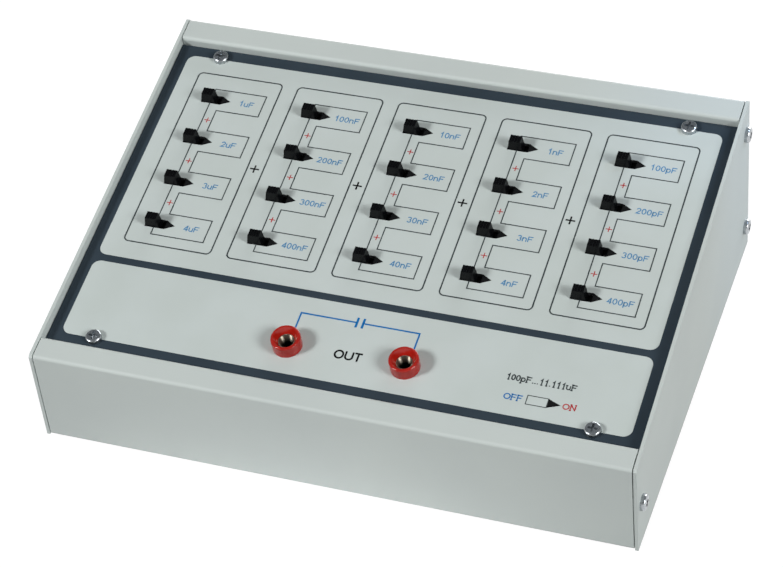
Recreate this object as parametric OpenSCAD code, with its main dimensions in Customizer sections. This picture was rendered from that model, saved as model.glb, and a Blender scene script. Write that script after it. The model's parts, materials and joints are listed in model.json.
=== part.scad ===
// Switched capacitance decade box: a folded sheet case with a sloping, sunk panel,
// twenty slide switches over a circuit board, and two 4 mm output sockets.
// Millimetres. X runs left to right, Y front to rear, Z up from the table.

/* [Case] */
// Length of the folded shell between the side plates
shell_w = 217; // [196:0.5:240]
// Depth of the case from front wall to rear wall
case_d = 159.2; // [144:0.1:176]
// Height of the front wall
front_h = 39.2; // [37:0.1:50]
// Height of the rear wall
rear_h = 68.8; // [64:0.1:80]
// Thickness of the folded sheet
sheet_t = 1.2; // [1:0.1:1.5]
// Thickness of a side plate
plate_t = 1.2; // [1:0.1:2]
// Outer radius of the shell's bends
bend_r = 1.5; // [1.4:0.1:2.2]
// Inner radius of the fold where a step meets its ledge
joggle_r = 0.4; // [0.3:0.05:0.8]
// Width of the top strip in front of the panel, along the slope
front_strip = 9.2; // [7:0.1:11]
// Width of the top strip behind the panel, along the slope
rear_strip = 10.1; // [8:0.1:12]
// Depth of the panel's printed face below the strips
panel_drop = 3.4; // [3:0.1:5]
// Gap between the shell's ends and the side plates, which rest on the end tabs
seam = 0.4; // [0.2:0.05:0.6]
// Clip of a side plate's top corners
plate_clip = 0.8; // [0.5:0.1:2]
// Height of the rubber feet
foot_h = 3; // [2:0.5:6]
// Diameter of the rubber feet
foot_d = 12.7; // [10:0.1:16]
// Distance of a foot's centre from the shell's ends and walls
foot_inset = 16; // [12:0.5:22]

/* [Side plate fixing] */
// Distance of the side screws from the front and rear walls' outer faces
side_inset = 5.4; // [4.8:0.1:6]
// Height of the front side screw above the case bottom
side_front_z = 18.8; // [14:0.1:22]
// Height of the lower rear side screw above the case bottom
side_low_z = 12.4; // [11:0.1:22]
// Drop of the upper rear side screw below the rear wall's top
side_top_drop = 11.9; // [11.5:0.1:16]
// Height of an end tab
tab_h = 13; // [11:0.5:15]
// Reach of an end tab past its screw
tab_reach = 6; // [5:0.5:6.5]
// Chamfer of an end tab's inner corners
tab_chamfer = 5; // [4.6:0.1:5.4]

/* [Panel] */
// Thickness of the aluminium panel
panel_t = 1.5; // [1:0.1:2]
// Thickness of the printed film
overlay_t = 0.25; // [0.2:0.05:0.4]
// Distance of the panel screws from the panel's middle
screw_x = 90.9; // [86:0.1:96]
// Distance of the front panel screws from the front step
screw_front = 5.1; // [4.8:0.1:7]
// Distance of the rear panel screws from the rear step
screw_rear = 4.6; // [4.4:0.1:7]

/* [Switch bank] */
// Distance of the outer columns' middles from the shell's ends
bank_side = 28.5; // [24:0.5:34]
// Distance of the front row from the front step
bank_front = 58.1; // [57:0.1:61]
// Distance of the rear row from the rear step
bank_rear = 24.5; // [21:0.1:28]
// Offset of an actuator from its column's middle when it is off
knob_x = -8.4; // [-10:0.1:-7]
// Travel of an actuator from off to on
travel = 2; // [1.6:0.1:2.6]
// Length of an actuator along its travel
knob_l = 5.5; // [5:0.1:6]
// Width of an actuator
knob_w = 3.5; // [3.2:0.1:4]
// Height of an actuator above the printed face
knob_h = 4.5; // [3.5:0.1:5.5]
// Length of a switch frame
frame_l = 14; // [13.6:0.1:15]
// Width of a switch frame
frame_w = 7.6; // [7:0.1:8.4]
// Height of a switch frame
frame_h = 5.5; // [5.2:0.1:7]

/* [Output sockets] */
// Distance between the two sockets
socket_pitch = 43.2; // [38:0.1:50]
// Offset of the sockets' middle from the case's middle
socket_x = -0.25; // [-2:0.05:2]
// Distance of the sockets from the front step
socket_y = 16.7; // [16:0.1:19]
// Diameter of a socket's collar
collar_d = 10.7; // [10:0.1:12]
// Height of a collar above the printed face
collar_h = 4.9; // [4:0.1:6]
// Bore of a socket, for a 4 mm plug
socket_bore = 4; // [3.9:0.05:4.2]
// Depth of the bore below the sleeve's mouth
socket_depth = 14; // [12:0.5:15]

/* [Board] */
// Thickness of the circuit board
board_t = 1.6; // [1.2:0.1:2]
// Diameter of the insulated output leads
wire_d = 1.6; // [1.2:0.1:2]

/* [Hidden] */
$fn = 48;
columns = 5;
rows = 4;
function slider_name(c, r) = str("slider_", chr(97 + c), rows - r);
SLIDERS = [for (c = [0 : columns - 1], r = [0 : rows - 1]) slider_name(c, r)];

// Paint and part colours
case_grey = "#c3c9c6";
slate = "#3a4653";
zinc = "#b9bcc0";
socket_red = "#c4261d";
near_black = "#191a1c";
brass_yellow = "#b99b55";
board_green = "#2d6a4b";

// Clearances
fit_gap = 0.05;      // pressed or seated round pieces, on the radius
hole_gap = 0.2;      // screw in a plain hole, on the radius
panel_gap = 0.3;     // panel to the side plates
seat_gap = 0.1;      // panel to the folds at its front and rear edges
slot_gap = 0.15;     // actuator to the ends of its slot, at the ends of its travel
side_gap = 0.25;     // actuator to the sides of its slot
slide_gap = 0.2;     // sliding faces inside a switch, and skirt to panel
ledge_gap = 0.8;     // front ledge to the sockets' washers

// Overshoot of a cutting shape past the face that it opens
over = 1;

// M3 screws and nuts
m3_r = 1.5;
thread_gap = 0.05;
head_r = 2.95;
head_h = 1.9;
head_edge = 0.9;
recess_l = 3.4;
recess_w = 0.8;
recess_depth = 1.2;
screw_l = 8;
nut_r = 3;
nut_h = 2.5;

// The case's slope and the panel's stack
slope_a = atan2(rear_h - front_h, case_d);
slope_l = case_d / cos(slope_a);
plate_x = shell_w / 2;
panel_stack = panel_t + overlay_t;
panel_l = slope_l - front_strip - rear_strip;
panel_w = shell_w - 2 * panel_gap;
edge_gap = joggle_r + seat_gap;
ledge_mid = -panel_drop - panel_stack - sheet_t / 2;
bend_mid_r = bend_r - sheet_t / 2;
joggle_mid_r = joggle_r + sheet_t / 2;

// The switch bank fills the panel between its margins
column_pitch = (shell_w - 2 * bank_side) / (columns - 1);
row_pitch = (panel_l - bank_front - bank_rear) / (rows - 1);

// A bend laps its flats by this angle and stands this proud, so that the sheet is one clean solid
bend_lap = 8;
bend_proud = 0.003;

// Switch levels below the printed face
skirt_t = 0.8;
skirt_lap = 0.6;
frame_t = 0.6;
base_t = 1.2;
neck_l = 3.2;
neck_w = 3;
carriage_h = 2.6;
terminal_pitch = 4;
terminal_r = 0.5;
terminal_head_r = 1;
terminal_head_h = 0.5;
terminal_stub = 2;
slot_l = knob_l + travel + 2 * slot_gap;
slot_w = knob_w + 2 * side_gap;
skirt_l = 2 * (knob_l / 2 + travel + slot_gap + skirt_lap);
skirt_w = slot_w + 2 * skirt_lap;
skirt_top = -panel_stack - slide_gap;
frame_top = skirt_top - skirt_t - slide_gap;
board_top = frame_top - frame_h;
board_back = board_top - board_t;
carriage_l = frame_l - 2 * frame_t - travel - 2 * slot_gap;
carriage_w = frame_w - 2 * frame_t - 2 * slide_gap;

// Board outline and the places of what it carries
board_margin = 2;
board_apron = 12;
board_skirt = 8;
board_w = columns * column_pitch - 2 * board_margin;
board_front = bank_front - row_pitch / 2 - board_apron;
board_rear = panel_l - bank_rear + board_skirt;
standoff_x = 1.5 * column_pitch;
standoff_inset = 4.5;
standoff_af = 5.5;
lead_inset = 4;
lead_bend_r = 3;

// Capacitors of the five decades: width and height as a start and a step per unit, and lead pitch.
// The first four decades are boxes with a length, and the last one is round.
cap_len = [26, 18, 13, 7.5];
cap_wide = [7, 5, 4, 3, 3];
cap_wide_step = [2, 1, 0.5, 0.3, 0.2];
cap_tall = [14, 11, 9, 7, 8];
cap_tall_step = [1.5, 1, 0.5, 0.5, 0.3];
cap_pitch = [22.5, 15, 10, 5, 5];
cap_lead_r = 0.4;
cap_stub = 0.8;

// Socket levels below the printed face
sleeve_r = 2.9;
sleeve_sink = 2.2;
mouth_depth = 3.5;
mouth_lip = 0.2;
collar_round = 0.6;
funnel_r = 4.3;
collar_body_r = 4;
washer_r = 6.5;
washer_t = 1.5;
socket_nut_af = 11;
socket_nut_t = 2.5;
thread_end = 3;
shank_r = 4;
shank_l = 4;
stud_l = 6;
tag_t = 0.6;
tag_w = 3.6;
tag_l = 11;
tag_nut_t = 2.4;
tag_nut_af = 5.5;
washer_top = -panel_stack;
socket_nut_top = washer_top - washer_t;
collar_end = socket_nut_top - socket_nut_t - thread_end;
sleeve_top = collar_h - sleeve_sink;
sleeve_end = collar_end - shank_l;
lead_z = sleeve_end - tag_t - wire_d / 2;
lead_y = board_front + lead_inset;
lead_start = socket_y + tag_l / 2;

// Centre of a column, and distance of a row from the front step (row 0 is in front)
function column_x(c) = (c - (columns - 1) / 2) * column_pitch;
function row_y(r) = bank_front + r * row_pitch;
function slot_x(c) = column_x(c) + knob_x + travel / 2;

// Middle of the left (-1) or right (1) socket
function socket_at(side) = socket_x + side * socket_pitch / 2;

// A point on the sloping top: s along the slope from its front edge, n out of the slope
function slope_point(s, n) = [
    s * cos(slope_a) - n * sin(slope_a) - case_d / 2,
    s * sin(slope_a) + n * cos(slope_a) + front_h
];

// Where the middle of a wall's sheet, at y, meets the middle of a strip's sheet
function strip_over(y) = [y, front_h + (y + case_d / 2) * tan(slope_a) - sheet_t / 2 / cos(slope_a)];

// Reach of the ledges under the panel: the front one stops short of the sockets' washers
ledge_w = socket_y - washer_r - ledge_gap;

// Middle line of the folded sheet, from the front ledge round to the rear ledge
wall_mid = case_d / 2 - sheet_t / 2;
front_step = front_strip - sheet_t / 2;
rear_step = slope_l - rear_strip + sheet_t / 2;
shell_path = [
    slope_point(front_strip + ledge_w, ledge_mid),
    slope_point(front_step, ledge_mid),
    slope_point(front_step, -sheet_t / 2),
    strip_over(-wall_mid),
    [-wall_mid, sheet_t / 2],
    [wall_mid, sheet_t / 2],
    strip_over(wall_mid),
    slope_point(rear_step, -sheet_t / 2),
    slope_point(rear_step, ledge_mid),
    slope_point(slope_l - rear_strip - ledge_w, ledge_mid)
];
shell_radii = [
    0, joggle_mid_r, bend_mid_r, bend_mid_r, bend_mid_r,
    bend_mid_r, bend_mid_r, bend_mid_r, joggle_mid_r, 0
];

// Side screws as [y, z] above the case bottom
side_screw_yz = [
    [case_d / 2 - side_inset, side_low_z],
    [case_d / 2 - side_inset, rear_h - side_top_drop],
    [side_inset - case_d / 2, side_front_z]
];

function unit(v) = v / norm(v);
function left_of(v) = [-v.y, v.x];
function turned(v, a) = [v.x * cos(a) - v.y * sin(a), v.x * sin(a) + v.y * cos(a)];
function side_of(a, b) = sign(a.x * b.y - a.y * b.x);
function fold_in(path, i) = unit(path[i] - path[i - 1]);
function fold_out(path, i) = unit(path[i + 1] - path[i]);
function is_end(path, i) = i == 0 || i == len(path) - 1;
function set_back(path, radii, i) =
    is_end(path, i) ? 0 : radii[i] * tan(acos(fold_in(path, i) * fold_out(path, i)) / 2);

// Flat stretch of a folded sheet's section between corners i and i + 1
module fold_flat(path, radii, i, t) {
    run = fold_out(path, i);
    from = path[i] + run * set_back(path, radii, i);
    to = path[i + 1] - run * set_back(path, radii, i + 1);
    out = left_of(run) * t / 2;
    polygon([from - out, to - out, to + out, from + out]);
}

// Bend of a folded sheet's section at corner i, lapped over the flats on both sides of it
module fold_bend(path, radii, i, t) {
    inward = fold_in(path, i);
    turn = side_of(inward, fold_out(path, i));
    start = path[i] - inward * set_back(path, radii, i);
    stop = path[i] + fold_out(path, i) * set_back(path, radii, i);
    centre = start + left_of(inward) * turn * radii[i];
    reach = 2 * (radii[i] + t);
    translate(centre) intersection() {
        difference() {
            circle(radii[i] + t / 2 + bend_proud);
            circle(radii[i] - t / 2 - bend_proud);
        }
        polygon([
            [0, 0], turned(unit(start - centre), -turn * bend_lap) * reach,
            unit(path[i] - centre) * reach, turned(unit(stop - centre), turn * bend_lap) * reach
        ]);
    }
}

module fold_section(path, radii, t) {
    for (i = [0 : len(path) - 2]) fold_flat(path, radii, i, t);
    for (i = [1 : len(path) - 2]) fold_bend(path, radii, i, t);
}

// Lifts a piece of the case onto the feet
module on_feet() translate([0, 0, foot_h]) children();

// Frame of the panel: z = 0 on the printed face, y = 0 at the front step
module on_panel() {
    translate([0, -case_d / 2, foot_h + front_h]) rotate([slope_a, 0, 0])
        translate([0, front_strip, -panel_drop]) children();
}

// Turns a section drawn in Y and Z into a piece that runs along X
module along_x(length) rotate([90, 0, 90]) linear_extrude(length, center = true) children();

module panel_screw_places() {
    for (x = [-screw_x, screw_x], y = [screw_front, panel_l - screw_rear])
        translate([x, y, 0]) children();
}

// Frames of the side screws: z = 0 at the shell's end, z out of the case
module side_screw_places() {
    for (side = [-1, 1], p = side_screw_yz)
        translate([side * plate_x, p.x, foot_h + p.y]) rotate([0, side * 90, 0]) children();
}

module switch_places() {
    for (c = [0 : columns - 1], r = [0 : rows - 1])
        translate([slot_x(c), row_y(r), 0]) children();
}

module terminal_places() {
    switch_places() for (i = [-1 : 1]) translate([i * terminal_pitch, 0, 0]) children();
}

module standoff_places() {
    for (x = [-standoff_x, standoff_x], y = [board_front + standoff_inset, board_rear - standoff_inset])
        translate([x, y, 0]) children();
}

module socket_places() for (side = [-1, 1]) socket_place(side) children();
module socket_place(side) translate([socket_at(side), socket_y, 0]) children();

// Capacitor of decade c and row r: its middle on the back of the board
module cap_place(c, r) translate([column_x(c), row_y(r) - row_pitch / 2, board_back]) children();

module hex(af, h) cylinder(r = af / 2 / cos(30), h = h, $fn = 6);

module tube(outer, inner, h) {
    difference() {
        cylinder(r = outer, h = h);
        translate([0, 0, -over]) cylinder(r = inner, h = h + 2 * over);
    }
}

// Pan-head screw with a cross recess: head above z = 0, shank below
module pan_screw(length) {
    difference() {
        rotate_extrude() {
            square([head_r, head_h - head_edge]);
            square([head_r - head_edge, head_h]);
            translate([head_r - head_edge, head_h - head_edge]) circle(head_edge);
        }
        for (a = [0, 90]) rotate(a)
            translate([-recess_l / 2, -recess_w / 2, head_h - recess_depth])
                cube([recess_l, recess_w, recess_depth]);
    }
    translate([0, 0, -length]) cylinder(r = m3_r - thread_gap, h = length);
}

module base_shell() color(case_grey) {
    difference() {
        on_feet() {
            along_x(shell_w - 2 * seam) fold_section(shell_path, shell_radii, sheet_t);
            for (side = [-1, 1], p = side_screw_yz)
                translate([side * (plate_x - sheet_t / 2), 0, 0]) along_x(sheet_t) end_tab(p);
        }
        on_panel() panel_screw_places() translate([0, 0, -panel_stack - 2 * sheet_t])
            cylinder(r = m3_r + hole_gap, h = 2 * sheet_t + over);
        side_screw_places() translate([0, 0, -2 * sheet_t]) cylinder(r = m3_r + hole_gap, h = 3 * sheet_t);
    }
}

// Outline of a tab that is folded in from a wall to take a side screw at p
module end_tab(p) {
    wall = sign(p.x) * wall_mid;
    tip = p.x - sign(p.x) * tab_reach;
    shoulder = tip + sign(p.x) * tab_chamfer;
    low = p.y - tab_h / 2;
    high = p.y + tab_h / 2;
    polygon([
        [wall, low], [shoulder, low], [tip, low + tab_chamfer],
        [tip, high - tab_chamfer], [shoulder, high], [wall, high]
    ]);
}

module side_plate(side) color(case_grey) {
    difference() {
        on_feet() translate([side * (plate_x + plate_t / 2), 0, 0]) along_x(plate_t)
            polygon([
                [-case_d / 2, 0], [case_d / 2, 0],
                [case_d / 2, rear_h - plate_clip], slope_point(slope_l - plate_clip, 0),
                slope_point(plate_clip, 0), [-case_d / 2, front_h - plate_clip]
            ]);
        side_screw_places() translate([0, 0, -over]) cylinder(r = m3_r + hole_gap, h = plate_t + 2 * over);
    }
}

module left_side_plate() side_plate(-1);
module right_side_plate() side_plate(1);

// Outline of the panel and its film, with the slots and holes that both share
module panel_face() {
    difference() {
        translate([-panel_w / 2, edge_gap]) square([panel_w, panel_l - 2 * edge_gap]);
        switch_places() square([slot_l, slot_w], center = true);
        panel_screw_places() circle(m3_r + hole_gap);
        socket_places() circle(collar_body_r + fit_gap);
    }
}

module front_panel() color(zinc) {
    on_panel() translate([0, 0, -panel_stack]) linear_extrude(panel_t) panel_face();
}

module panel_overlay() color(slate) {
    on_panel() translate([0, 0, -overlay_t]) linear_extrude(overlay_t) panel_face();
}

module panel_screws() color(zinc) on_panel() panel_screw_places() pan_screw(screw_l);

module panel_nuts() color(zinc) {
    on_panel() panel_screw_places() translate([0, 0, -panel_stack - sheet_t - nut_h])
        tube(nut_r, m3_r, nut_h);
}

module side_screws() color(zinc) {
    side_screw_places() translate([0, 0, plate_t]) pan_screw(screw_l);
}

module side_nuts() color(zinc) {
    side_screw_places() translate([0, 0, -sheet_t - nut_h]) tube(nut_r, m3_r, nut_h);
}

module rubber_feet() color(near_black) {
    x = plate_x - foot_inset;
    y = case_d / 2 - foot_inset;
    for (px = [-x, x], py = [-y, y])
        translate([px, py, 0]) cylinder(d1 = foot_d - foot_h / 2, d2 = foot_d, h = foot_h);
}

module circuit_board() color(board_green) {
    lead_hole = wire_d / 2 + fit_gap;
    on_panel() difference() {
        translate([-board_w / 2, board_front, board_back])
            cube([board_w, board_rear - board_front, board_t]);
        translate([0, 0, board_back - over]) {
            terminal_places() cylinder(r = terminal_r + fit_gap, h = board_t + 2 * over);
            standoff_places() cylinder(r = m3_r + hole_gap, h = board_t + 2 * over);
            for (side = [-1, 1]) translate([socket_at(side), lead_y, 0])
                cylinder(r = lead_hole, h = board_t + 2 * over);
        }
        for (c = [0 : columns - 1], r = [0 : rows - 1]) cap_place(c, r) cap_leads(c, fit_gap);
    }
}

module board_standoffs() color(zinc) {
    length = -panel_stack - board_top;
    on_panel() standoff_places() translate([0, 0, board_top]) difference() {
        hex(standoff_af, length);
        translate([0, 0, -over]) cylinder(r = m3_r, h = length);
    }
}

module board_screws() color(zinc) {
    grip = board_t + (-panel_stack - board_top) / 2;
    on_panel() standoff_places() translate([0, 0, board_back]) rotate([180, 0, 0]) pan_screw(grip);
}

module switch_frames() color(zinc) {
    inner_l = frame_l - 2 * frame_t;
    inner_w = frame_w - 2 * frame_t;
    window_l = neck_l + travel + 2 * slot_gap;
    window_w = neck_w + 2 * slide_gap;
    on_panel() switch_places() difference() {
        translate([-frame_l / 2, -frame_w / 2, board_top]) cube([frame_l, frame_w, frame_h]);
        translate([-inner_l / 2, -inner_w / 2, board_top - over])
            cube([inner_l, inner_w, frame_h - frame_t + over]);
        translate([-window_l / 2, -window_w / 2, frame_top - frame_t - over])
            cube([window_l, window_w, frame_t + 2 * over]);
    }
}

module switch_bases() color("#7a5230") {
    l = frame_l - 2 * frame_t - 2 * fit_gap;
    w = frame_w - 2 * frame_t - 2 * fit_gap;
    on_panel() switch_places() difference() {
        translate([-l / 2, -w / 2, board_top]) cube([l, w, base_t]);
        for (i = [-1 : 1]) translate([i * terminal_pitch, 0, board_top - over])
            cylinder(r = terminal_r + fit_gap, h = base_t + 2 * over);
    }
}

module switch_terminals() color(zinc) {
    foot = board_back - terminal_stub;
    on_panel() terminal_places() {
        translate([0, 0, foot]) cylinder(r = terminal_r, h = board_top + base_t - foot);
        translate([0, 0, board_top + base_t]) cylinder(r = terminal_head_r, h = terminal_head_h);
    }
}

// The two leads of a capacitor of decade c, grown by gap, from its body up through the board
module cap_leads(c, gap) {
    for (side = [-1, 1]) translate([side * cap_pitch[c] / 2, 0, -cap_stub])
        cylinder(r = cap_lead_r + gap, h = board_t + 2 * cap_stub);
}

// Boxed film capacitors of decade c, larger by the unit from the rear row to the front row
module film_capacitors(c) {
    on_panel() for (r = [0 : rows - 1]) cap_place(c, r) {
        units = rows - r;
        wide = cap_wide[c] + units * cap_wide_step[c];
        tall = cap_tall[c] + units * cap_tall_step[c];
        translate([-cap_len[c] / 2, -wide / 2, -tall]) cube([cap_len[c], wide, tall]);
        cap_leads(c, 0);
    }
}

module microfarad_capacitors() color("#2b4a8c") film_capacitors(0);
module hundred_nanofarad_capacitors() color("#a8352a") film_capacitors(1);
module ten_nanofarad_capacitors() color("#c8a03a") film_capacitors(2);
module nanofarad_capacitors() color("#8c8f94") film_capacitors(3);

// Dipped mica capacitors: flat round bodies that stand on the back of the board
module picofarad_capacitors() color("#8a4a24") {
    c = columns - 1;
    on_panel() for (r = [0 : rows - 1]) cap_place(c, r) {
        units = rows - r;
        wide = cap_wide[c] + units * cap_wide_step[c];
        tall = cap_tall[c] + units * cap_tall_step[c];
        translate([0, wide / 2, -tall / 2]) rotate([90, 0, 0]) cylinder(r = tall / 2, h = wide);
        translate([-cap_pitch[c] / 2 - cap_lead_r, -wide / 2, -tall / 2])
            cube([cap_pitch[c] + 2 * cap_lead_r, wide, tall / 2]);
        cap_leads(c, 0);
    }
}

// Red collar: a rounded rim and a funnel above the panel, and a threaded body through it
module socket_collar(side) color(socket_red) {
    on_panel() socket_place(side) rotate_extrude() difference() {
        union() {
            translate([0, collar_end]) square([collar_body_r, collar_h - collar_end]);
            square([collar_d / 2, collar_h - collar_round]);
            square([collar_d / 2 - collar_round, collar_h]);
            translate([collar_d / 2 - collar_round, collar_h - collar_round]) circle(collar_round);
        }
        translate([0, collar_end - over])
            square([sleeve_r + fit_gap, collar_h - collar_end + 2 * over]);
        polygon([
            [0, sleeve_top], [sleeve_r + fit_gap, sleeve_top], [funnel_r, collar_h],
            [funnel_r, collar_h + over], [0, collar_h + over]
        ]);
    }
}

module left_socket_collar() socket_collar(-1);
module right_socket_collar() socket_collar(1);

// Metal sleeve: coned mouth, blind bore, shank and a stud for the solder tag
module socket_sleeve(side) color(brass_yellow) {
    bore_r = socket_bore / 2;
    mouth_r = sleeve_r - mouth_lip;
    on_panel() socket_place(side) rotate_extrude() difference() {
        union() {
            translate([0, collar_end]) square([sleeve_r, sleeve_top - collar_end]);
            translate([0, sleeve_end]) square([shank_r, shank_l]);
            translate([0, sleeve_end - stud_l]) square([m3_r - thread_gap, stud_l]);
        }
        translate([0, sleeve_top - socket_depth]) square([bore_r, socket_depth + over]);
        polygon([
            [0, sleeve_top - mouth_depth], [bore_r, sleeve_top - mouth_depth],
            [mouth_r, sleeve_top], [mouth_r, sleeve_top + over], [0, sleeve_top + over]
        ]);
    }
}

module left_socket_sleeve() socket_sleeve(-1);
module right_socket_sleeve() socket_sleeve(1);

module socket_washers() color(socket_red) {
    on_panel() socket_places() translate([0, 0, washer_top - washer_t])
        tube(washer_r, collar_body_r + fit_gap, washer_t);
}

module socket_nuts() color(zinc) {
    on_panel() socket_places() translate([0, 0, socket_nut_top - socket_nut_t]) difference() {
        hex(socket_nut_af, socket_nut_t);
        translate([0, 0, -over])
            cylinder(r = collar_body_r + fit_gap, h = socket_nut_t + 2 * over);
    }
}

// Solder tags: a ring on the stud and a tail towards the board
module socket_tags() color(zinc) {
    on_panel() socket_places() translate([0, 0, sleeve_end - tag_t]) difference() {
        union() {
            cylinder(r = shank_r, h = tag_t);
            translate([-tag_w / 2, 0, 0]) cube([tag_w, tag_l, tag_t]);
        }
        translate([0, 0, -over]) cylinder(r = m3_r + fit_gap, h = tag_t + 2 * over);
    }
}

module tag_nuts() color(zinc) {
    on_panel() socket_places() translate([0, 0, sleeve_end - tag_t - tag_nut_t]) difference() {
        hex(tag_nut_af, tag_nut_t);
        translate([0, 0, -over]) cylinder(r = m3_r, h = tag_nut_t + 2 * over);
    }
}

// Insulated wire: along the tag towards the board, then up into it
module lead(side) {
    bend_y = lead_y - lead_bend_r;
    bend_z = lead_z + lead_bend_r;
    on_panel() translate([socket_at(side), 0, 0]) {
        translate([0, lead_start, lead_z]) rotate([-90, 0, 0])
            cylinder(d = wire_d, h = bend_y - lead_start);
        translate([0, bend_y, bend_z]) rotate([0, 90, 0])
            rotate_extrude(angle = 90) translate([lead_bend_r, 0]) circle(d = wire_d);
        translate([0, lead_y, bend_z]) cylinder(d = wire_d, h = board_top - bend_z);
    }
}

module left_lead() color(near_black) lead(-1);
module right_lead() color(socket_red) lead(1);

// One moulding: ribbed finger block, skirt under the panel, neck and carriage
module slider(c, r) color(near_black) {
    on_panel() translate([column_x(c) + knob_x, row_y(r), 0]) {
        finger_block();
        block(skirt_l, skirt_w, skirt_top - skirt_t, skirt_top);
        block(neck_l, neck_w, frame_top - frame_t - slide_gap, skirt_top - skirt_t);
        block(carriage_l, carriage_w, frame_top - frame_t - slide_gap - carriage_h,
            frame_top - frame_t - slide_gap);
    }
}

// Box centred on the actuator's axis, between two heights
module block(l, w, low, high) translate([-l / 2, -w / 2, low]) cube([l, w, high - low]);

// Finger block: straight through the slot, drawn in above it, with grooves across its top
module finger_block() {
    draft_off = 0.9;
    draft_on = 0.4;
    draft_w = 0.2;
    grooves = 3;
    groove_w = 0.35;
    groove_h = 0.15;
    groove_pitch = (knob_l - draft_off - draft_on) / (grooves + 1);
    intersection() {
        rotate([90, 0, 0]) linear_extrude(knob_w + 2 * over, center = true) difference() {
            drafted(knob_l, draft_off, draft_on);
            for (i = [1 : grooves])
                translate([draft_off - knob_l / 2 + i * groove_pitch - groove_w / 2, knob_h - groove_h])
                    square([groove_w, groove_h + over]);
        }
        rotate([90, 0, 90]) linear_extrude(knob_l + 2 * over, center = true)
            drafted(knob_w, draft_w, draft_w);
    }
}

// Section of the finger block: width w at the printed face, drawn in at the top on either side
module drafted(w, low, high) {
    polygon([
        [-w / 2, skirt_top], [w / 2, skirt_top], [w / 2, 0],
        [w / 2 - high, knob_h], [low - w / 2, knob_h], [-w / 2, 0]
    ]);
}

base_shell();
left_side_plate();
right_side_plate();
front_panel();
panel_overlay();
panel_screws();
panel_nuts();
side_screws();
side_nuts();
rubber_feet();
circuit_board();
board_standoffs();
board_screws();
switch_frames();
switch_bases();
switch_terminals();
microfarad_capacitors();
hundred_nanofarad_capacitors();
ten_nanofarad_capacitors();
nanofarad_capacitors();
picofarad_capacitors();
left_socket_collar();
right_socket_collar();
left_socket_sleeve();
right_socket_sleeve();
socket_washers();
socket_nuts();
socket_tags();
tag_nuts();
left_lead();
right_lead();
for (c = [0 : columns - 1], r = [0 : rows - 1])
    slider(c, r);
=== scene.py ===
import json
import math

import bmesh
import bpy
from mathutils import Matrix, Vector


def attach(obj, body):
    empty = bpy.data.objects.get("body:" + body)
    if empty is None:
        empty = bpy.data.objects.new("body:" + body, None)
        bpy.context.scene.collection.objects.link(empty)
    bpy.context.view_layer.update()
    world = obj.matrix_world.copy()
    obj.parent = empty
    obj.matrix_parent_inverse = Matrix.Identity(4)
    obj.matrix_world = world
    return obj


# Switched capacitance decade box: a powder-coated case with a printed sloping panel,
# twenty slide switches and two output sockets.
# Lengths are millimetres in the part's own frame, and MM turns them to metres.

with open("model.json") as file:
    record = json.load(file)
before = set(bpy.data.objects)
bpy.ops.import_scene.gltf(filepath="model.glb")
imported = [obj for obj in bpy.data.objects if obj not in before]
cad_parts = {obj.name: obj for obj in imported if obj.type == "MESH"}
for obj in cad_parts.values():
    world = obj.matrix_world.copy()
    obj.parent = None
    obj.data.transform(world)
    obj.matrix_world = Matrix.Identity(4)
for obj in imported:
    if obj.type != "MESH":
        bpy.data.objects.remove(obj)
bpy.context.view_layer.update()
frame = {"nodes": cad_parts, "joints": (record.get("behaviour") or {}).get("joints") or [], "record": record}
mounts = {m["name"]: m for m in frame["record"]["mounts"]}
normal = Vector(mounts["left_socket"]["axis"])
MM = 0.001

# Camera, as the photograph was taken
CAMERA_AZIMUTH = 23.22
CAMERA_ELEVATION = 42.77
CAMERA_ROLL = -6.40
CAMERA_AIM = (5.85, -21.30, 49.61)
CAMERA_DISTANCE = 915.4
CAMERA_LENS = 120.15
SENSOR_WIDTH = 36.0

# Softboxes: their distance from the camera's aim, and each one's direction, side and power in watts
SOFTBOX_DISTANCE = 3600
SOFTBOXES = {
    "key_softbox": ((-4.05, -3.45, 3.50), 780, 94),
    "fill_softbox": ((5.90, -2.22, 3.76), 1260, 88),
    "rear_softbox": ((0.35, 6.00, 1.00), 2400, 130),
}

# Cool daylight on the rear right corner: where it falls, from where, how far, wide, soft and strong
DAYLIGHT_AT = (114, 84, 68)
DAYLIGHT_FROM = (0.58, 0.30, 0.75)
DAYLIGHT_DISTANCE = 600
DAYLIGHT_RADIUS = 56
DAYLIGHT_SOFTNESS = 20
DAYLIGHT_TONE = "#c8deff"
DAYLIGHT_POWER = 4.8

# Room behind the softboxes: its even light, and its tones from the horizon to the ceiling
AMBIENT = 0.06
AMBIENT_TONE = "#ffffff"
ROOM_TONES = ("#ffffff", "#242628", "#8d9194")
ROOM_HEIGHTS = (0.12, 0.62, 0.88)

# Floor: its tone and its glow to the eye, which make it white, and its grey in the light that it
# throws back
FLOOR_SIZE = 6000
FLOOR_TONE = "#7f7f7f"
FLOOR_GLOW = "#f2f2f2"
BOUNCE_TONE = "#6c6c6c"

# Pale sheet on the floor that throws light on the front wall: its tone, middle and half lengths
SHEET_TONE = "#fafafa"
SHEET_AT = (-8, -80, 0)
SHEET_REACH = (140, 75, 1)

# Grain of the finishes: detail of the patches, shares of the noise at which their two tones are
# pure, and detail and strength of the fine skin
PATCH_DETAIL = 3.0
PATCH_STOPS = (0.35, 0.65)
SKIN_DETAIL = 2.0
SKIN_STRENGTH = 0.6

# Sockets of a colour Mix node: its share, its two colours and its result
MIX_SHARE = 0
MIX_FIRST = 6
MIX_SECOND = 7
MIX_RESULT = 2

# Depths in the sockets' bores down to which the nickel keeps its own bright tone, and from which it is
# painted near black as painted shade
UNSHADED_TO = 1.0
PAINTED_SHADE_FROM = 3.4

# Printed film: the gap between the film's edge and the front step, and the build-up of the inks
FILM_EDGE = 0.5
INK = 0.04
FIELD_LIFT = 0.0
LINE_LIFT = FIELD_LIFT + INK

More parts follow.
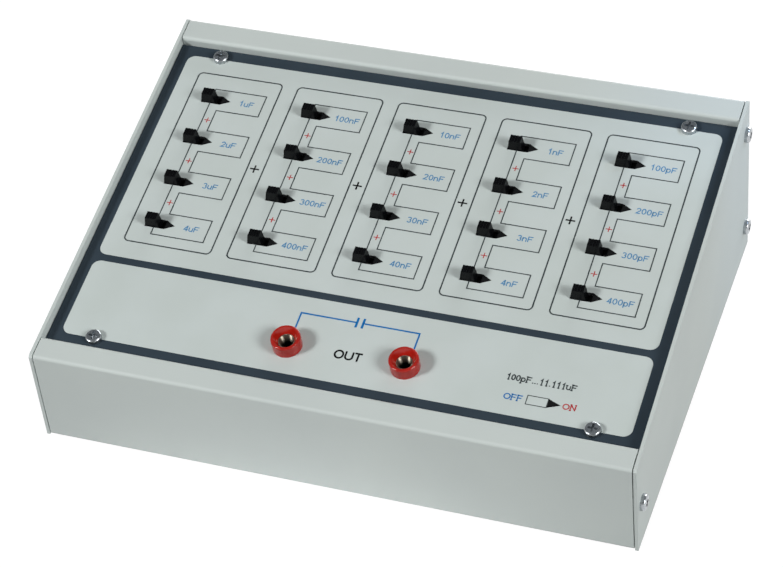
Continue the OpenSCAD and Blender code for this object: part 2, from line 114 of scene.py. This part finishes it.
# Steps of a round corner, a circle and a letter's bow, and the distance at which points are merged
CORNER_STEPS = 8
CIRCLE_STEPS = 48
BOW_STEPS = 16
MERGE_DISTANCE = 0.001

# Pale fields of the print, measured from the front step
FIELD_HALF_WIDTH = 103.8
FIELD_ROUND = 3.2
LOWER_FIELD = (5.1, 38.0)
UPPER_FIELD = (40.95, 137.45)

# Slots of the switches and holes of the sockets, cut clear out of the print
SLOT_LENGTH = 7.8
SLOT_WIDTH = 4.0
SOCKET_HOLE_RADIUS = 5.0

# Switches: columns from the left, with the print of their values, and rows from the rear
VALUES = {"a": "{}uF", "b": "{}00nF", "c": "{}0nF", "d": "{}nF", "e": "{}00pF"}
COLUMNS = list(VALUES)
ROWS = "1234"

# Column frames and the stepped lines that tie the switches together. The line work is printed a
# little to the right of the switches' grid.
LINE_SHIFT = 0.27
COLUMN_WIDTH = 33.75
COLUMN_FRONT = -9.6
COLUMN_REAR = 11.9
COLUMN_ROUND = 1.8
COLUMN_LINE = 0.52
PATH_LEFT = -7.9
PATH_SPINE = -4.2
PATH_RIGHT = 12.6
PATH_HALF_STEP = 5.0
PATH_LINE = 0.42

# Arrows, plus signs and values
ARROW_LENGTH = 3.5
ARROW_WIDTH = 3.8
ROW_PLUS_X = -5.95
ROW_PLUS = 2.35
ROW_PLUS_LINE = 0.34
COLUMN_PLUS = 3.5
COLUMN_PLUS_LINE = 0.6
COLUMN_PLUS_REAR = 1.1
VALUE_X = 6.2
VALUE_CAP = 2.5

# Symbol between the sockets with its word, and the legend and range at the right
WIRE_LINE = 0.6
WIRE_X = 21.86
WIRE_P = 31.0
PLATE_GAP = 2.3
PLATE_LENGTH = 4.2
PLATE_LINE = 0.85
OUT_AT = (0.35, 16.9)
OUT_CAP = 3.5
LEGEND_P = 12.55
LEGEND_BOX = (65.8, 73.1)
LEGEND_HEIGHT = 3.6
LEGEND_ARROW = 4.6
LEGEND_LINE = 0.3
LEGEND_CAP = 2.3
OFF_X = 61.0
ON_X = 80.7
RANGE_AT = (68.9, 20.4)
RANGE_CAP = 2.3


def linear(hex_colour):
    """Turns an sRGB hex colour to linear RGBA."""
    values = [int(hex_colour[i:i + 2], 16) / 255 for i in (1, 3, 5)]
    return [v / 12.92 if v <= 0.04045 else ((v + 0.055) / 1.055) ** 2.4 for v in values] + [1.0]


def per_metre(size):
    """Scale of a pattern whose features are this many millimetres apart."""
    return 1 / (size * MM)


def add(tree, kind, inputs=None, **settings):
    """Adds a node. Inputs are sockets to link or plain values to set."""
    made = tree.nodes.new("ShaderNode" + kind)
    for name, value in settings.items():
        setattr(made, name, value)
    for name, value in (inputs or {}).items():
        if isinstance(value, bpy.types.NodeSocket):
            tree.links.new(value, made.inputs[name])
        else:
            made.inputs[name].default_value = value
    return made


def material(name):
    """A new material, with its node tree and its Principled shader."""
    made = bpy.data.materials.new(name)
    made.use_nodes = True
    return made, made.node_tree, made.node_tree.nodes["Principled BSDF"]


def grained(name, tones, patch, grain, depth, roughness, **sockets):
    """Surface whose colour wanders between two tones in patches and whose skin has a fine grain.

    Patch, grain and the grain's depth are millimetres, and roughness goes from low to high with it.
    """
    made, tree, shader = material(name)
    place = add(tree, "TexCoord").outputs["Object"]
    cloud = add(tree, "TexNoise", {"Vector": place, "Scale": per_metre(patch), "Detail": PATCH_DETAIL})
    ramp = add(tree, "ValToRGB", {"Fac": cloud.outputs["Fac"]})
    for stop, tone, at in zip(ramp.color_ramp.elements, tones, PATCH_STOPS):
        stop.color = linear(tone)
        stop.position = at
    skin = add(tree, "TexNoise", {"Vector": place, "Scale": per_metre(grain), "Detail": SKIN_DETAIL})
    rough = add(tree, "MapRange", {
        "Value": skin.outputs["Fac"], "To Min": roughness[0], "To Max": roughness[1],
    })
    bump = add(tree, "Bump", {
        "Height": skin.outputs["Fac"], "Strength": SKIN_STRENGTH, "Distance": depth * MM,
    })
    tree.links.new(ramp.outputs["Color"], shader.inputs["Base Color"])
    tree.links.new(rough.outputs["Result"], shader.inputs["Roughness"])
    tree.links.new(bump.outputs["Normal"], shader.inputs["Normal"])
    for socket, value in sockets.items():
        shader.inputs[socket.replace("_", " ")].default_value = value
    return made


def powder_coat():
    """Pale grey powder coat on steel sheet: a soft satin skin with a faint orange peel."""
    return grained("powder_coat", ("#bdc5c3", "#c2cac7"), patch=60, grain=0.9, depth=0.012,
                   roughness=(0.52, 0.62))


def film_ink(name, tones):
    """Screen print under a matt polyester film: even ink with the film's fine tooth.

    The tooth is drawn coarser than it is, because it would not show.
    """
    return grained(name, tones, patch=25, grain=0.5, depth=0.004, roughness=(0.42, 0.52),
                   Specular_IOR_Level=0.15)


def zinc_plate():
    """Bright zinc on steel: grey metal, a little clouded, with a tight highlight."""
    return grained("zinc_plate", ("#a4a9ad", "#babec1"), patch=1.5, grain=0.3, depth=0.006,
                   roughness=(0.22, 0.34), Metallic=1.0)


def nickel_brass():
    """Nickel on turned brass: tool marks round the bore draw each light out to a streak along it.

    Its colour is painted from bright at the mouth to near black deeper in the bore: painted shade.
    """
    made, tree, shader = material("nickel_brass")
    along = add(tree, "CombineXYZ", dict(enumerate(normal)))
    tree.links.new(along.outputs[0], shader.inputs["Tangent"])
    place = add(tree, "TexCoord").outputs["Object"]
    height = add(tree, "VectorMath", {0: place, 1: normal}, operation="DOT_PRODUCT").outputs["Value"]
    mouth = max(normal.dot(v.co) for v in frame["nodes"]["left_socket_sleeve"].data.vertices)
    out_of_painted_shade = add(tree, "MapRange", {
        "Value": height, "From Min": mouth - PAINTED_SHADE_FROM * MM, "From Max": mouth - UNSHADED_TO * MM,
    })
    # Painted shade: the nickel's colour fades from its bright tone to near black deeper in the bore
    tone = add(tree, "Mix", {
        MIX_SHARE: out_of_painted_shade.outputs["Result"],
        MIX_FIRST: linear("#1e1c19"),
        MIX_SECOND: linear("#beb5a3"),
    }, data_type="RGBA")
    tree.links.new(tone.outputs[MIX_RESULT], shader.inputs["Base Color"])
    shader.inputs["Metallic"].default_value = 1.0
    shader.inputs["Roughness"].default_value = 0.46
    shader.inputs["Anisotropic"].default_value = 0.99
    return made


def red_nylon():
    """Red insulating nylon, turned and polished: deep colour with a wet highlight."""
    return grained("red_nylon", ("#9c190f", "#aa2016"), patch=4.0, grain=0.4, depth=0.006,
                   roughness=(0.10, 0.16), Specular_IOR_Level=0.4)


def black_nylon():
    """Black moulded nylon: spark-eroded skin that greys a little where light grazes it."""
    return grained("black_nylon", ("#07080a", "#0c0d0f"), patch=2.0, grain=0.35, depth=0.008,
                   roughness=(0.24, 0.32), Specular_IOR_Level=0.1)


def foot_rubber():
    """Black rubber: dull, with a dusty bloom."""
    return grained("foot_rubber", ("#1a1a1a", "#262625"), patch=5.0, grain=0.5, depth=0.02,
                   roughness=(0.75, 0.9), Specular_IOR_Level=0.2)


def mill_aluminium():
    """Mill-finished aluminium sheet: pale metal, soft reflections."""
    return grained("mill_aluminium", ("#b4b6b7", "#c4c6c7"), patch=6.0, grain=0.4, depth=0.006,
                   roughness=(0.35, 0.45), Metallic=1.0)


# Finish of each material slot that only shows when the case is open: name, tones, roughness, metallic
INNER_FINISHES = {
    "clinch_nut": ("zinc_clinch_nut", ("#9a9da0", "#b2b5b8"), (0.3, 0.4), 1.0),
    "board_laminate": ("glass_epoxy_board", ("#22573c", "#2d6a4b"), (0.3, 0.4), 0.0),
    "switch_steel": ("tinned_switch_steel", ("#a7aaac", "#bdbfc0"), (0.3, 0.42), 1.0),
    "switch_phenolic": ("paper_phenolic", ("#6a4526", "#7e5632"), (0.45, 0.55), 0.0),
    "tinned_metal": ("tinned_brass", ("#b5b6b4", "#c8c9c6"), (0.25, 0.36), 1.0),
    "film_blue": ("blue_epoxy", ("#27437f", "#2f5096"), (0.3, 0.4), 0.0),
    "film_red": ("red_epoxy", ("#9b3026", "#b03a2e"), (0.3, 0.4), 0.0),
    "film_yellow": ("yellow_epoxy", ("#bd9633", "#cfa844"), (0.3, 0.4), 0.0),
    "film_grey": ("grey_epoxy", ("#82858a", "#94979b"), (0.3, 0.4), 0.0),
    "mica_brown": ("dipped_brown_epoxy", ("#7c4220", "#925029"), (0.25, 0.35), 0.0),
    "lead_black": ("black_wire_vinyl", ("#161616", "#202020"), (0.35, 0.45), 0.0),
    "lead_red": ("red_wire_vinyl", ("#a5231b", "#b82c22"), (0.35, 0.45), 0.0),
}


def inner_finish(slot):
    """Finish of a piece inside the case: fine grain and a little wander in its tone."""
    name, tones, roughness, metallic = INNER_FINISHES[slot]
    return grained(name, tones, patch=5.0, grain=0.4, depth=0.006, roughness=roughness,
                   Metallic=metallic)


slate_ink = film_ink("slate_ink", ("#2f3a43", "#343f48"))
FINISHES = {
    "case_paint": powder_coat(),
    "overlay_film": slate_ink,
    "panel_aluminium": mill_aluminium(),
    "zinc_screw": zinc_plate(),
    "foot_rubber": foot_rubber(),
    "socket_red": red_nylon(),
    "socket_metal": nickel_brass(),
    "slider_black": black_nylon(),
}
FINISHES.update({slot: inner_finish(slot) for slot in INNER_FINISHES})
pale_ink = film_ink("pale_grey_ink", ("#bfc8c5", "#c3ccca"))
line_ink = film_ink("charcoal_ink", ("#3a4143", "#42494b"))
black_ink = film_ink("black_ink", ("#0b0c0d", "#101112"))
blue_ink = film_ink("blue_ink", ("#4f86b0", "#548bb6"))
wire_ink = film_ink("deep_blue_ink", ("#0f68aa", "#156eb0"))
red_ink = film_ink("red_ink", ("#ae3437", "#b63a3d"))


def dress_nodes():
    """Gives every CAD node the finish of its material slot."""
    for entry in frame["record"]["subparts"]:
        slots = frame["nodes"][entry["node"]].data.materials
        slots.clear()
        slots.append(FINISHES[entry["material_slot"]])


# Frame of the panel: x across, p up the slope from the front step, w out of the printed face
turn = Matrix.Rotation(math.atan2(-normal.y, normal.z), 4, "X")


def span_on_panel(name):
    """Lowest and highest (x, p, w) of a CAD node, in millimetres."""
    points = [turn.inverted() @ v.co / MM for v in frame["nodes"][name].data.vertices]
    return [Vector(pick(point[i] for point in points) for i in range(3)) for pick in (min, max)]


film_low, film_high = span_on_panel("panel_overlay")
panel_origin = Vector((0, film_low.y - FILM_EDGE, film_high.z))
PANEL = Matrix.Scale(MM, 4) @ turn @ Matrix.Translation(panel_origin)


def middle_on_panel(name):
    """Middle of a CAD node, in the panel's x and p."""
    low, high = span_on_panel(name)
    return ((low + high) / 2 - panel_origin).xy


switches = {c + r: middle_on_panel(f"slider_{c}{r}") for c in COLUMNS for r in ROWS}
travel = frame["joints"][0]["range_m"][1] / MM
socket_spots = [middle_on_panel(side + "_socket_collar") for side in ("left", "right")]
column_pitch = switches["b1"].x - switches["a1"].x
first_column = -(len(COLUMNS) - 1) / 2
column_middle = {c: (first_column + i) * column_pitch + LINE_SHIFT for i, c in enumerate(COLUMNS)}
row_p = {r: switches["a" + r].y for r in ROWS}


def rectangle(x0, x1, p0, p1):
    """Corners of a square-cornered rectangle."""
    return [(x0, p0), (x1, p0), (x1, p1), (x0, p1)]


def round_rectangle(x0, x1, p0, p1, radius):
    """Outline of a rectangle with round corners."""
    corners = [(x1 - radius, p1 - radius), (x0 + radius, p1 - radius),
               (x0 + radius, p0 + radius), (x1 - radius, p0 + radius)]
    outline = []
    for quarter, (x, p) in enumerate(corners):
        for step in range(CORNER_STEPS + 1):
            angle = (quarter + step / CORNER_STEPS) * math.pi / 2
            outline.append((x + radius * math.cos(angle), p + radius * math.sin(angle)))
    return outline


def circle(x, p, radius):
    """Outline of a circle."""
    angles = [2 * math.pi * i / CIRCLE_STEPS for i in range(CIRCLE_STEPS)]
    return [(x + radius * math.cos(a), p + radius * math.sin(a)) for a in angles]


def moved_out(line, distance, closed=True):
    """A line with square mitres, moved sideways by a distance: outwards if it is anticlockwise."""
    out = []
    for i, here in enumerate(line):
        before = Vector(here) - Vector(line[i - 1])
        after = Vector(line[(i + 1) % len(line)]) - Vector(here)
        if not closed and i == 0:
            before = after
        if not closed and i == len(line) - 1:
            after = before
        before.normalize()
        after.normalize()
        mitre = Vector((before.y + after.y, -before.x - after.x))
        out.append(tuple(Vector(here) + mitre * distance / (1 + before.dot(after))))
    return out


def stroke(line, width, closed=True):
    """The two edges of a line of some width."""
    return [moved_out(line, width / 2, closed), moved_out(line, -width / 2, closed)]


def plus(x, p, size, width):
    """Outline of a plus sign."""
    arm, half = size / 2, width / 2
    quarter = [(half, half), (half, arm), (-half, arm)]
    turns = [Matrix.Rotation(i * math.pi / 2, 2) for i in range(4)]
    return [tuple(Vector((x, p)) + t @ Vector(q)) for t in turns for q in quarter]


def arrow(x, p, length, width):
    """Outline of a solid arrowhead that points along +x."""
    return [(x, p - width / 2), (x + length, p), (x, p + width / 2)]


def in_scene(name, data):
    """Puts a mesh, curve, lamp or camera in the scene as an object."""
    made = bpy.data.objects.new(name, data)
    bpy.context.scene.collection.objects.link(made)
    return made


def finished(name, body, finish):
    """Makes a bmesh an object of one finish, with its place in its mesh."""
    mesh = bpy.data.meshes.new(name)
    body.to_mesh(mesh)
    body.free()
    mesh.materials.append(finish)
    return in_scene(name, mesh)


def set_on_panel(name, body, ink, lift):
    """Makes a thin layer of ink, drawn on the panel's x and p, a piece that moves with the case."""
    body.transform(PANEL @ Matrix.Translation((0, 0, lift)))
    bmesh.ops.remove_doubles(body, verts=body.verts, dist=MERGE_DISTANCE * MM)
    bmesh.ops.recalc_face_normals(body, faces=body.faces)
    piece = finished(name, body, ink)
    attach(piece, "case")


def printed(name, loops, ink, lift=LINE_LIFT):
    """Prints closed outlines, where an outline inside another leaves a gap."""
    shape = bpy.data.curves.new(name, "CURVE")
    shape.dimensions = "2D"
    shape.fill_mode = "BOTH"
    for loop in loops:
        spline = shape.splines.new("POLY")
        spline.points.add(len(loop) - 1)
        for point, (x, p) in zip(spline.points, loop):
            point.co = (x, p, 0, 1)
        spline.use_cyclic_u = True
    shape.extrude = INK / 2
    flat = in_scene(name, shape)
    bpy.context.view_layer.update()
    mesh = bpy.data.meshes.new_from_object(flat.evaluated_get(bpy.context.evaluated_depsgraph_get()))
    body = bmesh.new()
    body.from_mesh(mesh)
    body.transform(Matrix.Translation((0, 0, INK / 2)))
    bpy.data.objects.remove(flat)
    bpy.data.curves.remove(shape)
    bpy.data.meshes.remove(mesh)
    set_on_panel(name, body, ink, lift)


def bow(x, y, half_x, half_y, start, end):
    """Points along a part of an ellipse, between two angles in degrees."""
    angles = [math.radians(start + (end - start) * i / BOW_STEPS) for i in range(BOW_STEPS + 1)]
    return [(x + half_x * math.cos(a), y + half_y * math.sin(a)) for a in angles]


# Pen strokes of plain letters and figures: x in widths of the letter, y in capitals' heights
GLYPHS = {
    "0": [bow(0.5, 0.5, 0.34, 0.44, 0, 360)],
    "1": [[(0.22, 0.74), (0.42, 0.81), (0.58, 0.97), (0.58, 0)]],
    "2": [bow(0.5, 0.69, 0.33, 0.25, 170, -35) + [(0.14, 0.065), (0.88, 0.065)]],
    "3": [bow(0.48, 0.72, 0.30, 0.22, 160, -80), bow(0.48, 0.285, 0.35, 0.225, 80, -160)],
    "4": [[(0.70, 0), (0.70, 1)], [(0.70, 0.93), (0.16, 0.29), (0.94, 0.29)]],
    "F": [[(0.16, 0), (0.16, 1)], [(0.16, 0.935), (0.92, 0.935)], [(0.16, 0.51), (0.80, 0.51)]],
    "N": [[(0.14, 0), (0.14, 1)], [(0.14, 0.95), (0.86, 0.05)], [(0.86, 0), (0.86, 1)]],
    "O": [bow(0.5, 0.5, 0.40, 0.44, 0, 360)],
    "T": [[(0.04, 0.935), (0.96, 0.935)], [(0.5, 0.935), (0.5, 0)]],
    "U": [[(0.14, 1)] + bow(0.5, 0.37, 0.36, 0.30, 180, 360) + [(0.86, 1)]],
    "n": [[(0.16, 0), (0.16, 0.73)], bow(0.49, 0.41, 0.33, 0.255, 170, 0) + [(0.82, 0)]],
    "p": [[(0.16, -0.28), (0.16, 0.73)], bow(0.50, 0.36, 0.33, 0.31, 0, 360)],
    "u": [[(0.16, 0.73)] + bow(0.49, 0.32, 0.33, 0.255, 180, 350), [(0.82, 0.73), (0.82, 0)]],
    ".": [[(0.5, 0), (0.5, 0.16)]],
}
# Ends of stems that carry a foot in the lettering with feet
FEET = {
    "1": [(0.58, 0)],
    "F": [(0.16, 0), (0.16, 1)],
    "N": [(0.14, 0), (0.14, 1), (0.86, 1)],
    "p": [(0.16, -0.28)],
    "u": [(0.16, 0.73)],
}
# Letterings: widths of the letters ("0" also for those not named) and of the pen, in capitals'
# heights, and half the width of a foot
PLAIN = ({"0": 0.777, ".": 0.388, "F": 0.853, "O": 1.087, "T": 0.853, "U": 1.008}, 0.15, 0)
HEAVY = (PLAIN[0], 0.195, 0)
FOOTED = ({"0": 0.74, ".": 0.37, "F": 0.90, "N": 0.97, "O": 1.13, "p": 0.82, "u": 0.82}, 0.19, 0.17)
FOOTED_LIGHT = (FOOTED[0], 0.172, 0.15)


def lettered(name, words, at, cap, ink, lettering):
    """Prints a line of lettering centred at a place, by its capitals' height."""
    widths, pen, foot = lettering
    widths = [widths.get(letter, widths["0"]) for letter in words]
    left = at[0] - cap * sum(widths) / 2
    body = bmesh.new()
    for letter, width in zip(words, widths):
        lines = [[(u * width, v) for u, v in line] for line in GLYPHS[letter]]
        if foot:
            lines += [[(u * width - foot, v), (u * width + foot, v)] for u, v in FEET.get(letter, [])]
        for line in lines:
            closed = (Vector(line[0]) - Vector(line[-1])).length < pen / 2
            if closed:
                line.pop()
            drawn = [(left + u * cap, at[1] + (v - 0.5) * cap) for u, v in line]
            edges = stroke(drawn, pen * cap, closed)
            sides = [[body.verts.new((*point, 0)) for point in edge] for edge in edges]
            for i in range(len(drawn) - (not closed)):
                after = (i + 1) % len(drawn)
                body.faces.new((sides[0][i], sides[0][after], sides[1][after], sides[1][i]))
        left += width * cap
    raised = bmesh.ops.extrude_face_region(body, geom=body.faces[:])["geom"]
    top = [part for part in raised if isinstance(part, bmesh.types.BMVert)]
    bmesh.ops.translate(body, vec=(0, 0, INK), verts=top)
    set_on_panel(name, body, ink, LINE_LIFT)


def print_fields():
    """Two pale fields on the slate film, with the slots and holes left clear."""
    slots = []
    for x, p in switches.values():
        middle = x + travel / 2
        slots.append(rectangle(middle - SLOT_LENGTH / 2, middle + SLOT_LENGTH / 2,
                               p - SLOT_WIDTH / 2, p + SLOT_WIDTH / 2))
    holes = [circle(x, p, SOCKET_HOLE_RADIUS) for x, p in socket_spots]
    for name, (front, rear), cuts in (("lower_field", LOWER_FIELD, holes),
                                      ("upper_field", UPPER_FIELD, slots)):
        field = round_rectangle(-FIELD_HALF_WIDTH, FIELD_HALF_WIDTH, front, rear, FIELD_ROUND)
        printed(name, [field] + cuts, pale_ink, FIELD_LIFT)


def stepped_path(middle):
    """Outline that runs from switch to switch of a column, past each value."""
    right, spine, left = (middle + x for x in (PATH_RIGHT, PATH_SPINE, PATH_LEFT))
    rows = [row_p[r] for r in reversed(ROWS)]
    outline = [(left, rows[0] - PATH_HALF_STEP)]
    for i, p in enumerate(rows):
        near = p - PATH_HALF_STEP
        far = p + PATH_HALF_STEP
        start = [] if i == 0 else [(spine, near)]
        stop = [] if i == len(rows) - 1 else [(spine, far)]
        outline += start + [(right, near), (right, far)] + stop
    return outline + [(left, rows[-1] + PATH_HALF_STEP)]


def print_columns():
    """Frame, stepped path, arrows, plus signs and values of each column of switches."""
    frames, paths, arrows, row_marks = [], [], [], []
    between = [(row_p[a] + row_p[b]) / 2 for a, b in zip(ROWS, ROWS[1:])]
    for column, middle in column_middle.items():
        edges = (middle - COLUMN_WIDTH / 2, middle + COLUMN_WIDTH / 2,
                 row_p["4"] + COLUMN_FRONT, row_p["1"] + COLUMN_REAR)
        for grow in (COLUMN_LINE / 2, -COLUMN_LINE / 2):
            frames.append(round_rectangle(edges[0] - grow, edges[1] + grow, edges[2] - grow,
                                          edges[3] + grow, COLUMN_ROUND + grow))
        paths += stroke(stepped_path(middle), PATH_LINE)
        row_marks += [plus(middle + ROW_PLUS_X, p, ROW_PLUS, ROW_PLUS_LINE) for p in between]
        for row in ROWS:
            x, p = switches[column + row]
            arrows.append(arrow(x + travel / 2 + SLOT_LENGTH / 2, p, ARROW_LENGTH, ARROW_WIDTH))
            lettered(f"value_{column}{row}", VALUES[column].format(row), (middle + VALUE_X, p),
                     VALUE_CAP, blue_ink, PLAIN)
    gaps = [x + column_pitch / 2 - LINE_SHIFT for x in list(column_middle.values())[:-1]]
    marks_p = (row_p["2"] + row_p["3"]) / 2 + COLUMN_PLUS_REAR
    column_marks = [plus(x, marks_p, COLUMN_PLUS, COLUMN_PLUS_LINE) for x in gaps]
    printed("column_frames", frames, line_ink)
    printed("stepped_paths", paths, line_ink)
    printed("switch_arrows", arrows, black_ink)
    printed("row_plus_signs", row_marks, red_ink)
    printed("column_plus_signs", column_marks, black_ink)


def print_symbol():
    """Capacitor symbol that joins the two sockets."""
    near, far = WIRE_P - WIRE_LINE / 2, WIRE_P + WIRE_LINE / 2
    wires, plates = [], []
    for side, (_, p) in zip((-1, 1), socket_spots):
        start = p + SOCKET_HOLE_RADIUS
        outer, inner = (LINE_SHIFT + side * (WIRE_X + half) for half in (WIRE_LINE / 2, -WIRE_LINE / 2))
        plate = LINE_SHIFT + side * PLATE_GAP / 2
        wires.append([(outer, start), (inner, start), (inner, near),
                      (plate, near), (plate, far), (outer, far)])
        plates.append(rectangle(plate - PLATE_LINE / 2, plate + PLATE_LINE / 2,
                                WIRE_P - PLATE_LENGTH / 2, WIRE_P + PLATE_LENGTH / 2))
    printed("symbol_wires", wires, wire_ink)
    printed("symbol_plates", plates, wire_ink)


def print_legend():
    """The word at the sockets, the range, and the key to the switches' two positions."""
    lettered("out_word", "OUT", OUT_AT, OUT_CAP, black_ink, HEAVY)
    lettered("range_figures", "100pF...11.111uF", RANGE_AT, RANGE_CAP, line_ink, FOOTED)
    front, rear = LEGEND_P - LEGEND_HEIGHT / 2, LEGEND_P + LEGEND_HEIGHT / 2
    printed("legend_slot", stroke(rectangle(*LEGEND_BOX, front, rear), LEGEND_LINE), line_ink)
    printed("legend_arrow", [arrow(LEGEND_BOX[1], LEGEND_P, LEGEND_ARROW, LEGEND_HEIGHT)], black_ink)
    lettered("off_word", "OFF", (OFF_X, LEGEND_P), LEGEND_CAP, wire_ink, FOOTED_LIGHT)
    lettered("on_word", "ON", (ON_X, LEGEND_P), LEGEND_CAP, red_ink, FOOTED_LIGHT)


def set_camera():
    """Camera at the photograph's place, turned about its own axis by the photograph's tilt."""
    azimuth, elevation = math.radians(CAMERA_AZIMUTH), math.radians(CAMERA_ELEVATION)
    back = Vector((math.sin(azimuth) * math.cos(elevation), -math.cos(azimuth) * math.cos(elevation),
                   math.sin(elevation)))
    lens = bpy.data.cameras.new("camera")
    lens.lens = CAMERA_LENS
    lens.sensor_width = SENSOR_WIDTH
    camera = in_scene("camera", lens)
    look = (-back).to_track_quat("-Z", "Y").to_matrix().to_4x4()
    roll = Matrix.Rotation(math.radians(CAMERA_ROLL), 4, "Z")
    spot = (Vector(CAMERA_AIM) + back * CAMERA_DISTANCE) * MM
    camera.matrix_world = Matrix.Translation(spot) @ look @ roll
    bpy.context.scene.camera = camera


def stand_lamp(name, lamp, aim, direction, distance):
    """Stands a lamp away from its aim, in a direction and at a distance, and turns it to face the aim."""
    away = Vector(direction).normalized()
    spot = (Vector(aim) + away * distance) * MM
    facing = away.to_track_quat("Z", "Y").to_matrix().to_4x4()
    in_scene(name, lamp).matrix_world = Matrix.Translation(spot) @ facing


def soft_light(name, direction, side, power):
    """Square softbox that faces the case."""
    lamp = bpy.data.lights.new(name, "AREA")
    lamp.size = side * MM
    lamp.energy = power
    stand_lamp(name, lamp, CAMERA_AIM, direction, SOFTBOX_DISTANCE)


def corner_daylight():
    """Cool pool of daylight that fades out round the rear right corner."""
    lamp = bpy.data.lights.new("corner_daylight", "SPOT")
    lamp.energy = DAYLIGHT_POWER
    lamp.color = linear(DAYLIGHT_TONE)[:3]
    lamp.spot_size = 2 * math.atan(DAYLIGHT_RADIUS / DAYLIGHT_DISTANCE)
    lamp.spot_blend = 1.0
    lamp.shadow_soft_size = DAYLIGHT_SOFTNESS * MM
    stand_lamp("corner_daylight", lamp, DAYLIGHT_AT, DAYLIGHT_FROM, DAYLIGHT_DISTANCE)


def seen_directly(tree):
    """One where the camera, a reflection or clear material sees the surface, nought for its light."""
    path = add(tree, "LightPath").outputs
    seen = add(tree, "Math", {0: path["Is Camera Ray"], 1: path["Is Glossy Ray"]}, operation="MAXIMUM")
    return add(tree, "Math", {0: seen.outputs[0], 1: path["Is Transmission Ray"]},
               operation="MAXIMUM").outputs[0]


def floor_paper():
    """Matt white paper: white to the eye, grey in the light that it throws back, with a paler sheet."""
    made, tree, shader = material("floor_paper")
    seen = seen_directly(tree)
    from_sheet = add(tree, "Mapping", {
        "Vector": add(tree, "TexCoord").outputs["Object"],
        "Location": Vector(SHEET_AT) * MM,
        "Scale": Vector(SHEET_REACH) * MM,
    }, vector_type="TEXTURE")
    away = add(tree, "VectorMath", {0: from_sheet.outputs[0]}, operation="LENGTH")
    sheet = add(tree, "MapRange", {
        "Value": away.outputs["Value"], "From Min": 1.0, "From Max": 0.0,
    }, interpolation_type="SMOOTHSTEP")
    bounce = add(tree, "Mix", {
        MIX_SHARE: sheet.outputs["Result"],
        MIX_FIRST: linear(BOUNCE_TONE),
        MIX_SECOND: linear(SHEET_TONE),
    }, data_type="RGBA")
    tone = add(tree, "Mix", {
        MIX_SHARE: seen,
        MIX_FIRST: bounce.outputs[MIX_RESULT],
        MIX_SECOND: linear(FLOOR_TONE),
    }, data_type="RGBA")
    glow = add(tree, "Mix", {
        MIX_SHARE: seen,
        MIX_FIRST: linear("#000000"),
        MIX_SECOND: linear(FLOOR_GLOW),
    }, data_type="RGBA")
    tree.links.new(tone.outputs[MIX_RESULT], shader.inputs["Base Color"])
    tree.links.new(glow.outputs[MIX_RESULT], shader.inputs["Emission Color"])
    shader.inputs["Emission Strength"].default_value = 1.0
    shader.inputs["Roughness"].default_value = 0.9
    shader.inputs["Specular IOR Level"].default_value = 0.0
    return made


def set_floor():
    """Plain square floor under the feet."""
    body = bmesh.new()
    bmesh.ops.create_grid(body, x_segments=1, y_segments=1, size=FLOOR_SIZE * MM / 2)
    floor = finished("floor", body, floor_paper())


def set_world():
    """White surround, dim walls and a pale ceiling to the eye and in metal, and a faint even light."""
    world = bpy.data.worlds.new("studio")
    world.use_nodes = True
    tree = world.node_tree
    tree.nodes.clear()
    height = add(tree, "SeparateXYZ", {0: add(tree, "TexCoord").outputs["Generated"]}).outputs["Z"]
    room = add(tree, "ValToRGB", {"Fac": height})
    room.color_ramp.elements.new(ROOM_HEIGHTS[1])
    for stop, tone, at in zip(room.color_ramp.elements, ROOM_TONES, ROOM_HEIGHTS):
        stop.position = at
        stop.color = linear(tone)
    shown = add(tree, "Background", {"Color": room.outputs["Color"], "Strength": 1.0})
    light = add(tree, "Background", {"Color": linear(AMBIENT_TONE), "Strength": AMBIENT})
    mixed = add(tree, "MixShader", {0: seen_directly(tree), 1: light.outputs[0], 2: shown.outputs[0]})
    add(tree, "OutputWorld", {"Surface": mixed.outputs[0]})
    bpy.context.scene.world = world


set_camera()
set_floor()
set_world()
for softbox, (direction, side, power) in SOFTBOXES.items():
    soft_light(softbox, direction, side, power)
corner_daylight()
bpy.context.scene.view_settings.view_transform = "Standard"

dress_nodes()
print_fields()
print_columns()
print_symbol()
print_legend()
